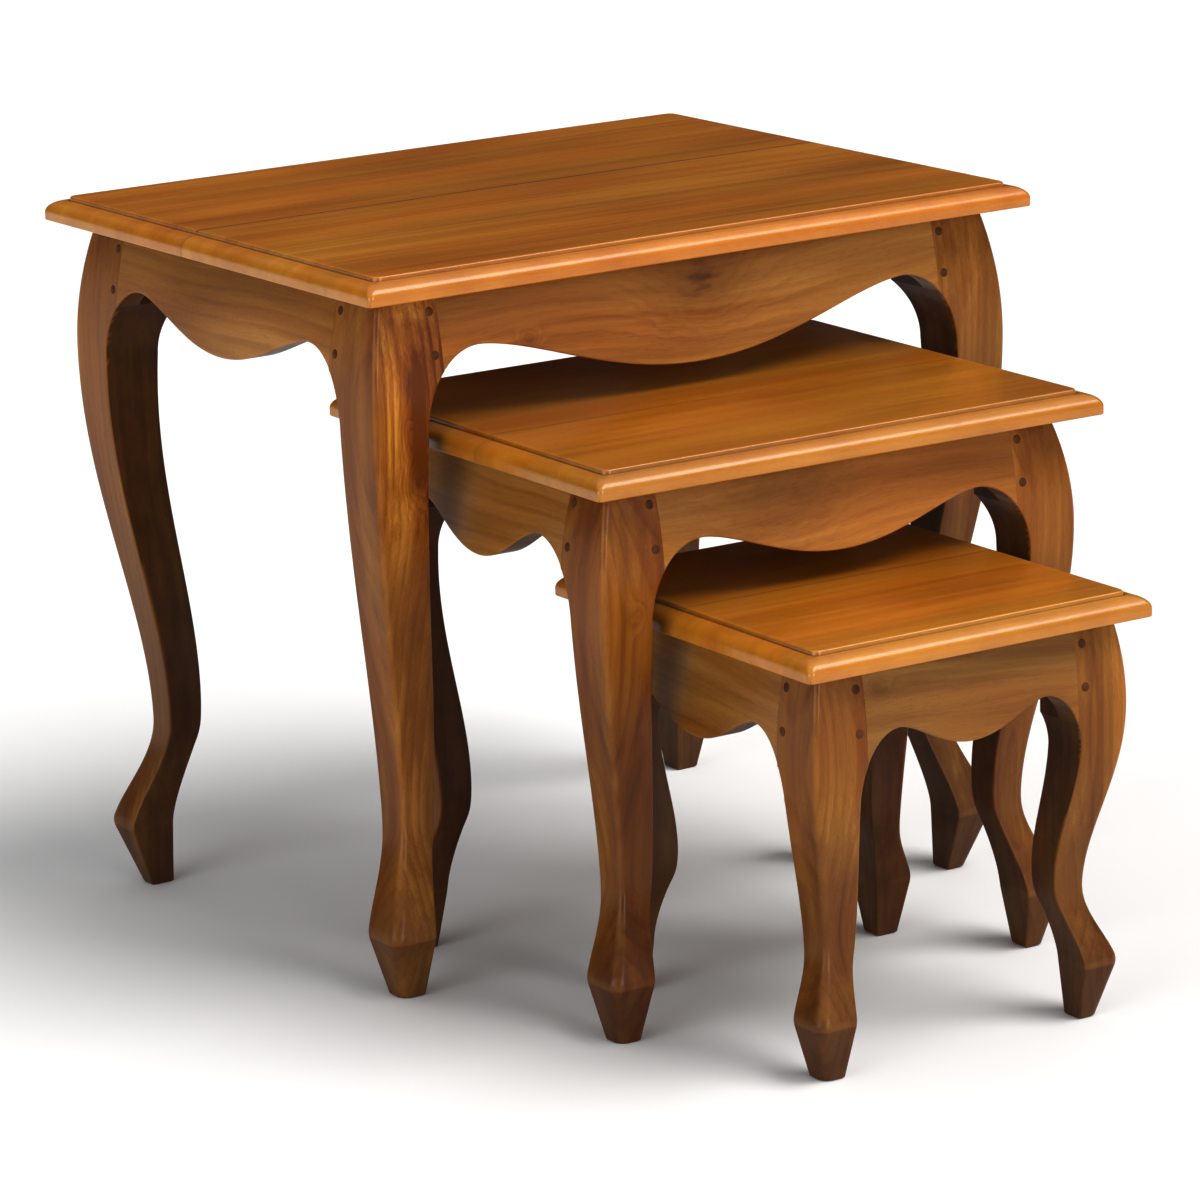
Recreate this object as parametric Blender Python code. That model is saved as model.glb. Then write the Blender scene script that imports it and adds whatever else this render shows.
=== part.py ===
"""Three solid-wood nesting tables, one parked in front of the other.

Each table is a moulded top glued up from two boards, four cabriole legs of square
section and four shaped aprons. Every apron ends in two tenons that sit in mortises in
the legs, and round pegs lock the tenons. The mid table slides in and out beneath the
large one, and the small table beneath the mid one, each on its own feet.

Axes: X runs along the long side of the large table, -Y is the side the smaller
tables come out of, Z is up and the floor is z = 0. All lengths are in metres.
"""

import math

import bmesh
import bpy

# ---------------------------------------------------------------- overall sizes
LARGE_WIDTH = 0.598
LARGE_DEPTH = 0.466
LARGE_HEIGHT = 0.5465
TOP_THICK = 0.0185

# Room that lets one table pass beneath the next larger one.
MID_SIDE_ROOM = 0.0180
MID_HEAD_ROOM = 0.0181
MID_DEPTH_STEP = 0.1020
SMALL_SIDE_ROOM = 0.0175
SMALL_HEAD_ROOM = 0.0219
SMALL_DEPTH_STEP = 0.0445

# Where the smaller tables stand, measured from the middle of the large one.
MID_PLACE = (-0.0034, -0.2333)
MID_TURN = math.radians(-1.31)
SMALL_PLACE = (-0.0081, -0.4018)
SMALL_TURN = math.radians(-1.36)

# ---------------------------------------------------------------- moulded top
TOP_CORNER_R = 0.0040
EDGE_ARRIS = 0.0006
EDGE_FILLET = 0.0058
OVOLO_WIDTH = 0.0130
OVOLO_RISE = 0.0096
QUIRK_WIDTH = 0.0010
CREST_R = 0.0014

# Where the glue line between the two boards runs, as a share of the depth.
SEAM_SHARE = {"large": 0.054, "mid": -0.060, "small": 0.030}

# ---------------------------------------------------------------- joinery
GAP = 0.0003
TENON_LENGTH = 0.0280
TENON_CLEAR = 0.0030
TENON_SHOULDER = 0.0020
TENON_TOP_DROP = 0.0080
TENON_BOTTOM_DROP = 0.0540
APRON_DEPTH = 0.0230
PEG_DIAMETER = 0.0066
PEG_PAST_TENON = 0.0140
PEG_CLEAR = 0.0030
PEG_SET = 0.0062
PEG_UPPER_DROP = 0.0150
PEG_LOWER_DROP = 0.0460
PEG_CHAMFER = 0.0005

# ---------------------------------------------------------------- legs
ARRIS_R = 0.0040
INNER_ARRIS = 0.0010
CALF_SKEW = 0.90
TOE_SKEW = 1.45
SLIM_SHARE = 0.85
WAVE_SKEW = 0.80

# Tucks are measured back from the knee, the outermost point of a leg. The seam between a
# leg and its aprons lies seam_run inside the line where the arch springs from the leg.
SHAPES = {
    "large": {
        "side_over": 0.0123,
        "front_over": 0.0189,
        "knee_drop": 0.0980,
        "top_tuck": 0.0140,
        "ankle_z": 0.1330,
        "ankle_tuck": 0.0333,
        "toe_z": 0.0490,
        "toe_tuck": 0.0062,
        "foot_tuck": 0.0226,
        "seam_run": 0.0155,
        "knee_w": 0.0465,
        "ankle_w": 0.0272,
        "toe_w": 0.0370,
        "foot_w": 0.0195,
        "arch_run": 0.0480,
        "arch_rise": 0.0600,
        "peak_drop": 0.0435,
        "front_dip": 0.0820,
        "side_dip": 0.0735,
    },
    "mid": {
        "side_over": 0.0130,
        "front_over": 0.0188,
        "knee_drop": 0.0824,
        "top_tuck": 0.0140,
        "ankle_z": 0.1150,
        "ankle_tuck": 0.0285,
        "toe_z": 0.0460,
        "toe_tuck": 0.0055,
        "foot_tuck": 0.0170,
        "seam_run": 0.0112,
        "knee_w": 0.0420,
        "ankle_w": 0.0260,
        "toe_w": 0.0360,
        "foot_w": 0.0180,
        "arch_run": 0.0460,
        "arch_rise": 0.0550,
        "peak_drop": 0.0440,
        "front_dip": 0.0705,
        "side_dip": 0.0735,
    },
    "small": {
        "side_over": 0.0126,
        "front_over": 0.0135,
        "knee_drop": 0.0635,
        "top_tuck": 0.0076,
        "ankle_z": 0.0970,
        "ankle_tuck": 0.0225,
        "toe_z": 0.0425,
        "toe_tuck": 0.0036,
        "foot_tuck": 0.0151,
        "seam_run": 0.0039,
        "knee_w": 0.0385,
        "ankle_w": 0.0250,
        "toe_w": 0.0328,
        "foot_w": 0.0180,
        "arch_run": 0.0330,
        "arch_rise": 0.0480,
        "peak_drop": 0.0475,
        "front_dip": 0.0680,
        "side_dip": 0.0735,
    },
}

# ---------------------------------------------------------------- fineness
CORNER_STEPS = 3
OVOLO_STEPS = 5
PEG_SIDES = 12
HOLE_SIDES = 12
ARCH_STEPS = 4
WAVE_STEPS = 8
BOW_STEPS = 6

# Corners of a table: name, side along X, side along Y, quarter turns of the leg.
CORNERS = (
    ("front_left", -1, -1, 0),
    ("front_right", 1, -1, 1),
    ("rear_right", 1, 1, 2),
    ("rear_left", -1, 1, 3),
)


# ---------------------------------------------------------------- scene helpers
def clear_scene():
    for obj in list(bpy.data.objects):
        bpy.data.objects.remove(obj, do_unlink=True)
    for mesh in list(bpy.data.meshes):
        bpy.data.meshes.remove(mesh)


def new_collection(name):
    coll = bpy.data.collections.new(name)
    bpy.context.scene.collection.children.link(coll)
    return coll


def wood(name, colour, roughness):
    mat = bpy.data.materials.new(name)
    mat.use_nodes = True
    shader = mat.node_tree.nodes["Principled BSDF"]
    shader.inputs["Base Color"].default_value = colour
    shader.inputs["Roughness"].default_value = roughness
    return mat


def mesh_object(name, bm, coll, parent, place, turn):
    bmesh.ops.recalc_face_normals(bm, faces=bm.faces)
    mesh = bpy.data.meshes.new(name)
    bm.to_mesh(mesh)
    bm.free()
    obj = bpy.data.objects.new(name, mesh)
    obj.location = place
    obj.rotation_euler = (0.0, 0.0, turn)
    obj.parent = parent
    coll.objects.link(obj)
    return obj


def part(name, bm, place, turn, table, colour, roughness):
    obj = mesh_object(name, bm, PARTS, table["root"], place, turn)
    obj.data.materials.append(wood(name + "_wood", colour, roughness))
    return obj


def cutter(name, bm, place, turn, table):
    obj = mesh_object(name, bm, CUTTERS, table["root"], place, turn)
    obj.display_type = "WIRE"
    obj.hide_render = True
    return obj


def boolean(obj, tool, operation):
    mod = obj.modifiers.new(tool.name, "BOOLEAN")
    mod.operation = operation
    mod.solver = "EXACT"
    mod.object = tool
    return mod


# ---------------------------------------------------------------- solid helpers
def loft(bm, rings):
    """Skin a closed body over rings that all have the same number of points."""
    rows = [[bm.verts.new(point) for point in ring] for ring in rings]
    count = len(rows[0])
    for low, high in zip(rows, rows[1:]):
        for i in range(count):
            j = (i + 1) % count
            bm.faces.new((low[i], low[j], high[j], high[i]))
    bm.faces.new(list(reversed(rows[0])))
    bm.faces.new(rows[-1])


def box(bm, x0, x1, y0, y1, z0, z1):
    made = bmesh.ops.create_cube(bm, size=1.0)["verts"]
    for vert in made:
        vert.co.x = x1 if vert.co.x > 0 else x0
        vert.co.y = y1 if vert.co.y > 0 else y0
        vert.co.z = z1 if vert.co.z > 0 else z0


def prism(bm, outline, y0, y1):
    """Push a flat outline in the XZ plane from y0 to y1."""
    near = [(x, y0, z) for x, z in outline]
    far = [(x, y1, z) for x, z in outline]
    loft(bm, [near, far])


def bar(bm, outline, x0, x1):
    """Push a flat outline in the YZ plane from x0 to x1."""
    near = [(x0, y, z) for y, z in outline]
    far = [(x1, y, z) for y, z in outline]
    loft(bm, [near, far])


def round_pin(bm, x, z, radius, y0, y1, sides, along_x):
    """A cylinder across the leg face, lying along Y, or along X with the axes swapped."""
    rings = []
    for y in (y0, y1):
        ring = []
        for i in range(sides):
            angle = 2.0 * math.pi * (i + 0.5) / sides
            px = x + radius * math.cos(angle)
            pz = z + radius * math.sin(angle)
            ring.append((y, px, pz) if along_x else (px, y, pz))
        rings.append(ring)
    loft(bm, rings)


# ---------------------------------------------------------------- leg and apron curves
def face_tuck(shape, z):
    """How far the outer face of a leg or apron lies behind the knee at height z."""
    if z >= shape["knee_z"]:
        t = (z - shape["knee_z"]) / shape["knee_drop"]
        return shape["top_tuck"] * t * t
    if z >= shape["ankle_z"]:
        t = (z - shape["ankle_z"]) / (shape["knee_z"] - shape["ankle_z"])
        return shape["ankle_tuck"] * 0.5 * (1.0 + math.cos(math.pi * t ** CALF_SKEW))
    if z >= shape["toe_z"]:
        t = ((z - shape["toe_z"]) / (shape["ankle_z"] - shape["toe_z"])) ** TOE_SKEW
        rise = shape["ankle_tuck"] - shape["toe_tuck"]
        return shape["toe_tuck"] + rise * (1.0 - (1.0 - t) ** 2)
    t = z / shape["toe_z"]
    return shape["foot_tuck"] + (shape["toe_tuck"] - shape["foot_tuck"]) * t


def inner_tuck(shape, z):
    """How far the inner face of a leg lies behind the knee at height z."""
    if z >= shape["seam_z"]:
        return shape["block"]
    if z >= shape["spring_z"]:
        t = min((z - shape["spring_z"]) / shape["arch_rise"], 1.0)
        return shape["arch_mid"] - shape["arch_run"] * math.sqrt(1.0 - t * t)
    slim_z = SLIM_SHARE * shape["ankle_z"]
    if z >= slim_z:
        t = (z - slim_z) / (shape["spring_z"] - slim_z)
        width = shape["ankle_w"] + (shape["knee_w"] - shape["ankle_w"]) * t
    elif z >= shape["toe_z"]:
        t = ((z - shape["toe_z"]) / (slim_z - shape["toe_z"])) ** TOE_SKEW
        width = shape["toe_w"] + (shape["ankle_w"] - shape["toe_w"]) * (1.0 - (1.0 - t) ** 2)
    else:
        t = z / shape["toe_z"]
        width = shape["foot_w"] + (shape["toe_w"] - shape["foot_w"]) * t
    return face_tuck(shape, z) + width


def finish_shape(shape, leg_top):
    """Work out the heights and places that follow from the driving sizes."""
    shape["leg_top"] = leg_top
    shape["knee_z"] = leg_top - shape["knee_drop"]
    shape["peak_z"] = leg_top - shape["peak_drop"]
    shape["spring_z"] = shape["peak_z"] - shape["arch_rise"]
    shape["seam_z"] = leg_top
    spring_in = face_tuck(shape, shape["spring_z"]) + shape["knee_w"]
    shape["block"] = spring_in + shape["seam_run"]
    shape["arch_mid"] = spring_in + shape["arch_run"]
    lean = (shape["arch_mid"] - shape["block"]) / shape["arch_run"]
    shape["seam_z"] = shape["spring_z"] + shape["arch_rise"] * math.sqrt(1.0 - lean * lean)
    shape["tenon_z1"] = leg_top - TENON_TOP_DROP
    shape["tenon_z0"] = leg_top - TENON_BOTTOM_DROP
    shape["tenon_y0"] = face_tuck(shape, shape["tenon_z1"]) + 0.5 * TENON_SHOULDER
    shape["tenon_y1"] = APRON_DEPTH - TENON_SHOULDER
    # The two tenons in a leg stop short of each other.
    room = shape["block"] - shape["tenon_y1"] - TENON_CLEAR
    shape["tenon_length"] = min(TENON_LENGTH, room)
    # A peg also stops short of the pegs that come in through the other face.
    room = shape["block"] - PEG_SET - 0.5 * PEG_DIAMETER - PEG_CLEAR
    shape["peg_end"] = min(shape["tenon_y1"] + PEG_PAST_TENON, room)


def leg_heights(shape):
    heights = [0.0, 0.5 * shape["toe_z"], shape["toe_z"]]
    spans = (
        (shape["toe_z"], shape["ankle_z"], (0.12, 0.28, 0.50, 0.75, 1.0)),
        (shape["ankle_z"], shape["spring_z"], (0.12, 0.25, 0.40, 0.55, 0.70, 0.85, 1.0)),
        (shape["spring_z"], shape["seam_z"], (0.40, 0.70, 0.88, 1.0)),
        (shape["seam_z"], shape["leg_top"] - GAP, (0.35, 0.68, 1.0)),
    )
    for low, high, shares in spans:
        heights.extend(low + (high - low) * share for share in shares)
    return heights


def leg_section(shape, z):
    """Square section with a rounded outer arris and three small chamfers."""
    low = face_tuck(shape, z)
    high = inner_tuck(shape, z)
    ring = []
    for i in range(CORNER_STEPS + 1):
        angle = math.pi + 0.5 * math.pi * i / CORNER_STEPS
        x = low + ARRIS_R + ARRIS_R * math.cos(angle)
        y = low + ARRIS_R + ARRIS_R * math.sin(angle)
        ring.append((x, y, z))
    ring.append((high - INNER_ARRIS, low, z))
    ring.append((high, low + INNER_ARRIS, z))
    ring.append((high, high - INNER_ARRIS, z))
    ring.append((high - INNER_ARRIS, high, z))
    ring.append((low + INNER_ARRIS, high, z))
    ring.append((low, high - INNER_ARRIS, z))
    return ring


def apron_outline(shape, half, dip):
    """Half-open list of (x, z) along the lower edge, from the left end to the right."""
    mid_x = half + shape["block"] - shape["arch_mid"]
    left = []
    start = (shape["arch_mid"] - shape["block"] - GAP) / shape["arch_run"]
    first = math.asin(min(start, 1.0))
    for i in range(ARCH_STEPS):
        angle = first * (1.0 - i / ARCH_STEPS)
        x = -mid_x - shape["arch_run"] * math.sin(angle)
        z = shape["spring_z"] + shape["arch_rise"] * math.cos(angle)
        left.append((x, z))
    for i in range(WAVE_STEPS + 1):
        t = i / WAVE_STEPS
        drop = 0.5 * (1.0 - math.cos(math.pi * t ** WAVE_SKEW))
        x = -mid_x * (1.0 - t)
        z = shape["peak_z"] - (dip - shape["peak_drop"]) * drop
        left.append((x, z))
    right = [(-x, z) for x, z in reversed(left[:-1])]
    return left + right


# ---------------------------------------------------------------- subcomponents
def make_leg(table, corner):
    name, side_x, side_y, quarters = corner
    shape = table["shape"]
    label = table["name"] + "_leg_" + name
    place = (side_x * table["knee_x"], side_y * table["knee_y"], 0.0)
    turn = quarters * 0.5 * math.pi

    bm = bmesh.new()
    loft(bm, [leg_section(shape, z) for z in leg_heights(shape)])
    leg = part(label, bm, place, turn, table, (0.25, 0.11, 0.04, 1.0), 0.35)

    bm = bmesh.new()
    near = shape["block"] - shape["tenon_length"]
    far = shape["block"] + 0.010
    low = shape["tenon_y0"] - GAP
    high = shape["tenon_y1"] + GAP
    bottom = shape["tenon_z0"] - GAP
    top = shape["tenon_z1"] + GAP
    box(bm, near, far, low, high, bottom, top)
    box(bm, low, high, near, far, bottom, top)
    boolean(leg, cutter(label + "_mortises", bm, place, turn, table), "DIFFERENCE")

    faces = []
    if name in ("front_left", "rear_left"):
        faces.append(False)
    if name in ("front_left", "front_right"):
        faces.append(True)
    if faces:
        bm = bmesh.new()
        x = shape["block"] - PEG_SET
        radius = 0.5 * PEG_DIAMETER + GAP
        for along_x in faces:
            for drop in (PEG_UPPER_DROP, PEG_LOWER_DROP):
                z = shape["leg_top"] - drop
                round_pin(bm, x, z, radius, -0.010, shape["peg_end"] + GAP,
                          HOLE_SIDES, along_x)
        boolean(leg, cutter(label + "_peg_holes", bm, place, turn, table), "DIFFERENCE")


def make_apron(table, name, place, turn, half, dip, pegged):
    shape = table["shape"]
    label = table["name"] + "_apron_" + name
    body = half - GAP
    top = shape["leg_top"] - GAP

    bm = bmesh.new()
    outline = apron_outline(shape, half, dip)
    prism(bm, outline + [(body, top), (-body, top)], -0.004, APRON_DEPTH)
    apron = part(label, bm, place, turn, table, (0.23, 0.10, 0.035, 1.0), 0.38)

    bm = bmesh.new()
    low_z = shape["leg_top"] - dip - 0.006
    high_z = shape["leg_top"] + 0.004
    outer = []
    for i in range(BOW_STEPS + 1):
        z = low_z + (high_z - low_z) * i / BOW_STEPS
        outer.append((face_tuck(shape, z), z))
    back = APRON_DEPTH + 0.008
    bar(bm, outer + [(back, high_z), (back, low_z)], -half - 0.004, half + 0.004)
    boolean(apron, cutter(label + "_bowed_face", bm, place, turn, table), "INTERSECT")

    bm = bmesh.new()
    for side in (-1, 1):
        ends = sorted((side * (body - 0.006), side * (half + shape["tenon_length"] - GAP)))
        box(bm, ends[0], ends[1], shape["tenon_y0"], shape["tenon_y1"],
            shape["tenon_z0"], shape["tenon_z1"])
    boolean(apron, cutter(label + "_tenons", bm, place, turn, table), "UNION")

    if pegged:
        bm = bmesh.new()
        radius = 0.5 * PEG_DIAMETER + GAP
        for side in (-1, 1):
            for drop in (PEG_UPPER_DROP, PEG_LOWER_DROP):
                round_pin(bm, side * (half + PEG_SET), shape["leg_top"] - drop, radius,
                          shape["tenon_y0"] - 0.004, shape["tenon_y1"] + 0.004,
                          HOLE_SIDES, False)
        boolean(apron, cutter(label + "_peg_holes", bm, place, turn, table), "DIFFERENCE")


def make_peg(table, label, place, turn, x, z):
    """A round peg whose head is cut off in line with the leaning face of the leg."""
    shape = table["shape"]
    radius = 0.5 * PEG_DIAMETER
    slope = (face_tuck(shape, z + radius) - face_tuck(shape, z - radius)) / (2.0 * radius)
    length = shape["peg_end"] - face_tuck(shape, z)
    spans = ((0.0, radius), (length - PEG_CHAMFER, radius), (length, radius - PEG_CHAMFER))
    rings = []
    for step, (y, size) in enumerate(spans):
        ring = []
        for i in range(PEG_SIDES):
            angle = 2.0 * math.pi * (i + 0.5) / PEG_SIDES
            up = size * math.sin(angle)
            lean = slope * up if step == 0 else 0.0
            ring.append((size * math.cos(angle), y + lean, up))
        rings.append(ring)
    bm = bmesh.new()
    loft(bm, rings)
    offset = (x, face_tuck(shape, z))
    place = (
        place[0] + offset[0] * math.cos(turn) - offset[1] * math.sin(turn),
        place[1] + offset[0] * math.sin(turn) + offset[1] * math.cos(turn),
        z,
    )
    part(label, bm, place, turn, table, (0.035, 0.015, 0.008, 1.0), 0.5)


def make_pegs(table, name, place, turn, half, ends):
    shape = table["shape"]
    for side, end in zip((-1, 1), ends):
        for level, drop in (("upper", PEG_UPPER_DROP), ("lower", PEG_LOWER_DROP)):
            label = "_".join((table["name"], name, "peg", end, level))
            make_peg(table, label, place, turn, side * (half + PEG_SET),
                     shape["leg_top"] - drop)


def top_profile():
    """Inset and height of each line of the moulding, from the underside upwards."""
    steps = [(EDGE_ARRIS, 0.0), (0.0, EDGE_ARRIS), (0.0, EDGE_FILLET)]
    for i in range(1, OVOLO_STEPS + 1):
        angle = 0.5 * math.pi * i / OVOLO_STEPS
        inset = OVOLO_WIDTH * (1.0 - math.cos(angle))
        steps.append((inset, EDGE_FILLET + OVOLO_RISE * math.sin(angle)))
    step_in = OVOLO_WIDTH + QUIRK_WIDTH
    steps.append((step_in, TOP_THICK - CREST_R))
    steps.append((step_in + 0.3 * CREST_R, TOP_THICK - 0.3 * CREST_R))
    steps.append((step_in + CREST_R, TOP_THICK))
    return steps


def top_ring(half_x, half_y, z):
    centres = (
        (half_x - TOP_CORNER_R, half_y - TOP_CORNER_R, 0.0),
        (-half_x + TOP_CORNER_R, half_y - TOP_CORNER_R, 0.5 * math.pi),
        (-half_x + TOP_CORNER_R, -half_y + TOP_CORNER_R, math.pi),
        (half_x - TOP_CORNER_R, -half_y + TOP_CORNER_R, 1.5 * math.pi),
    )
    ring = []
    for cx, cy, start in centres:
        for i in range(CORNER_STEPS + 1):
            angle = start + 0.5 * math.pi * i / CORNER_STEPS
            ring.append((cx + TOP_CORNER_R * math.cos(angle),
                         cy + TOP_CORNER_R * math.sin(angle), z))
    return ring


def make_board(table, name, y0, y1):
    label = table["name"] + "_top_" + name + "_board"
    half_x = 0.5 * table["width"]
    half_y = 0.5 * table["depth"]
    rings = [top_ring(half_x - inset, half_y - inset, z) for inset, z in top_profile()]
    bm = bmesh.new()
    loft(bm, rings)
    place = (0.0, 0.0, table["shape"]["leg_top"])
    board = part(label, bm, place, 0.0, table, (0.34, 0.14, 0.03, 1.0), 0.25)
    bm = bmesh.new()
    box(bm, -half_x - 0.01, half_x + 0.01, y0, y1, -0.01, TOP_THICK + 0.01)
    boolean(board, cutter(label + "_bounds", bm, place, 0.0, table), "INTERSECT")


# ---------------------------------------------------------------- whole tables
def plan_table(name, width, depth, height):
    shape = dict(SHAPES[name])
    finish_shape(shape, height - TOP_THICK)
    return {
        "name": name,
        "width": width,
        "depth": depth,
        "height": height,
        "shape": shape,
        "knee_x": 0.5 * width - shape["side_over"],
        "knee_y": 0.5 * depth - shape["front_over"],
    }


def plan_inner(name, outer, side_room, head_room, depth_step):
    """Size a table so that it passes between the legs and beneath the front apron."""
    shape = outer["shape"]
    width = 2.0 * (outer["knee_x"] - shape["knee_w"] - side_room)
    depth = outer["depth"] - depth_step
    height = shape["leg_top"] - shape["front_dip"] - head_room
    return plan_table(name, width, depth, height)


def front_reach(table, turn):
    """Distance from the middle of a turned table to its foremost edge."""
    half_x = 0.5 * table["width"] - TOP_CORNER_R
    half_y = 0.5 * table["depth"] - TOP_CORNER_R
    return half_x * abs(math.sin(turn)) + half_y * math.cos(turn) + TOP_CORNER_R


def make_table(table, place, turn):
    root = bpy.data.objects.new(table["name"] + "_table", None)
    root.location = (place[0], place[1], 0.0)
    root.rotation_euler = (0.0, 0.0, turn)
    PARTS.objects.link(root)
    table["root"] = root
    shape = table["shape"]

    for corner in CORNERS:
        make_leg(table, corner)

    long_half = table["knee_x"] - shape["block"]
    short_half = table["knee_y"] - shape["block"]
    quarter = 0.5 * math.pi
    sides = (
        ("front", (0.0, -table["knee_y"], 0.0), 0.0, long_half, "front_dip", True),
        ("right", (table["knee_x"], 0.0, 0.0), quarter, short_half, "side_dip", False),
        ("rear", (0.0, table["knee_y"], 0.0), 2.0 * quarter, long_half, "front_dip", False),
        ("left", (-table["knee_x"], 0.0, 0.0), -quarter, short_half, "side_dip", True),
    )
    ends = {"front": ("left", "right"), "left": ("rear", "front")}
    for name, spot, angle, half, dip, pegged in sides:
        make_apron(table, name, spot, angle, half, shape[dip], pegged)
        if pegged:
            make_pegs(table, name, spot, angle, half, ends[name])

    seam = SEAM_SHARE[table["name"]] * table["depth"]
    reach = 0.5 * table["depth"] + 0.01
    make_board(table, "front", -reach, seam - 0.5 * GAP)
    make_board(table, "rear", seam + 0.5 * GAP, reach)


clear_scene()
PARTS = new_collection("nesting_tables")
CUTTERS = new_collection("cutters")

large = plan_table("large", LARGE_WIDTH, LARGE_DEPTH, LARGE_HEIGHT)
mid = plan_inner("mid", large, MID_SIDE_ROOM, MID_HEAD_ROOM, MID_DEPTH_STEP)
small = plan_inner("small", mid, SMALL_SIDE_ROOM, SMALL_HEAD_ROOM, SMALL_DEPTH_STEP)

# The origin lies on the floor below the middle of the three tables together.
rear_edge = 0.5 * LARGE_DEPTH
front_edge = SMALL_PLACE[1] - front_reach(small, SMALL_TURN)
MIDDLE_Y = -0.5 * (rear_edge + front_edge)

make_table(large, (0.0, MIDDLE_Y), 0.0)
make_table(mid, (MID_PLACE[0], MID_PLACE[1] + MIDDLE_Y), MID_TURN)
make_table(small, (SMALL_PLACE[0], SMALL_PLACE[1] + MIDDLE_Y), SMALL_TURN)
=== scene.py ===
"""Looks of the three nesting tables: fine meshes, lacquered wood, soft studio, camera.

The CAD boards say where every table stands, how it is turned and how large it is. Each
leg, apron, board and peg is then built with soft arrises, in place of its CAD node
where it has one, and rides on its own table. All lengths are in metres.
"""

import math
import random

import bmesh
import bpy
from mathutils import Matrix, Vector


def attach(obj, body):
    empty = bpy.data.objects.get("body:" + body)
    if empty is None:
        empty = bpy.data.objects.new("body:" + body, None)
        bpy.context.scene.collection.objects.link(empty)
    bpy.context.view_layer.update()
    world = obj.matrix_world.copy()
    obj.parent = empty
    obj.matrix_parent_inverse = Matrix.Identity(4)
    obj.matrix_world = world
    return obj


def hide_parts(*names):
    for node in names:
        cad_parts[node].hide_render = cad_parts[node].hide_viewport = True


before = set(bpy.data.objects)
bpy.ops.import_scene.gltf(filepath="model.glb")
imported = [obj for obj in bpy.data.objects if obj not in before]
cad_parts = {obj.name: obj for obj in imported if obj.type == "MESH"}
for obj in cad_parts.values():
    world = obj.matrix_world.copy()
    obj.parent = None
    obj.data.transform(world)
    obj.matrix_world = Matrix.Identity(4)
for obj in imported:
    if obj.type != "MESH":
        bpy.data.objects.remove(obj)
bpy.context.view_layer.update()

# ---------------------------------------------------------------- sizes shared by the tables
# Moulding of a top, from its lower edge to the flat. A corner's radius grows inwards,
# and each of the crest's last rows is a distance inwards and how rubbed it is there.
TOP_CORNER_R = 0.0040
TOP_CORNER_GROWTH = 0.15
UNDERSIDE_RIM = 0.0040
EDGE_ARRIS = 0.0010
EDGE_FILLET = 0.0058
FILLET_LIP = 0.0004
OVOLO_WIDTH = 0.0130
OVOLO_RISE = 0.0096
QUIRK_WIDTH = 0.0010
QUIRK_SINK = 0.0006
CREST_R = 0.0014
CREST_ROWS = ((0.0012, 0.15), (0.0060, 0.0))

# Glue line of a top: its place as a share of the depth, its gap, its bevel, and how
# much finish gathers there and how far.
SEAM_SHARE = {"large": 0.054, "mid": -0.060, "small": 0.030}
SEAM_HALF_GAP = 0.00005
SEAM_BEVEL = {"large": 0.00040, "mid": 0.00016, "small": 0.00016}
SEAM_STAIN = {"large": 0.95, "mid": 0.40, "small": 0.40}
SEAM_SIDE_SHARE = 0.40
SEAM_STAIN_REACH = 0.00190
SEAM_TOP_REACH = 0.0010
TINY = 1e-6

JOINT_GAP = 0.00005
APRON_DEPTH = 0.0230

# Pegs: how far inside the leg and below the top they sit, and the dome of their heads.
PEG_RADIUS = 0.0033
PEG_SET = 0.0062
PEG_DROPS = (("upper", 0.0150), ("lower", 0.0460))
PEG_DEPTH = 0.0120
PEG_PROUD = 0.00010
PEG_DOME = 0.00035
PEG_RIM = 0.96

ARRIS_R = 0.0040
TOE_ARRIS_R = 0.0085
INNER_ARRIS = 0.0012
JOINT_ARRIS = 0.00015
APRON_ARRIS = 0.0014

# Exponents that shift a curve's bend, the share of the ankle's height at which a leg is
# slimmest, and how far up and down the ridge of the toe is rounded.
CALF_SKEW = 0.90
TOE_SKEW = 1.45
WAVE_SKEW = 0.80
SLIM_SHARE = 0.85
SOFTEN = 0.0038

# How much finish handling rubs off, from 0 to 1, and how near to an arris.
ARRIS_RUB_REACH = 1.3 * ARRIS_R
UPPER_ARRIS_RUB = 0.70
TOE_RUB = 0.80
TOE_RUB_REACH = 0.0040
APRON_RUB = 0.90
APRON_RUB_DEPTH = 0.0012
APRON_RUB_HEIGHT = 0.0030
LOWEST_REACH = 0.0120
CORNER_RUB = 0.30
CORNER_RUB_REACH = 0.0200

# How dark painted shade makes the feet, the lower legs, the hidden faces and the band
# just under a top, and how dark real stain gathers at peg rims and end grain, from 0 to 1,
# and how far down the painted shade reaches under a top.
FOOT_SHADE = 0.72
CALF_SHADE = 0.60
CALF_SHADE_FADE = 0.70
HIDDEN_SHADE = 0.80
UNDER_TOP_SHADE = 0.30
UNDER_TOP_REACH = 0.0060
PEG_RIM_STAIN = 0.60
END_GRAIN_STAIN = 0.06

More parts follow.
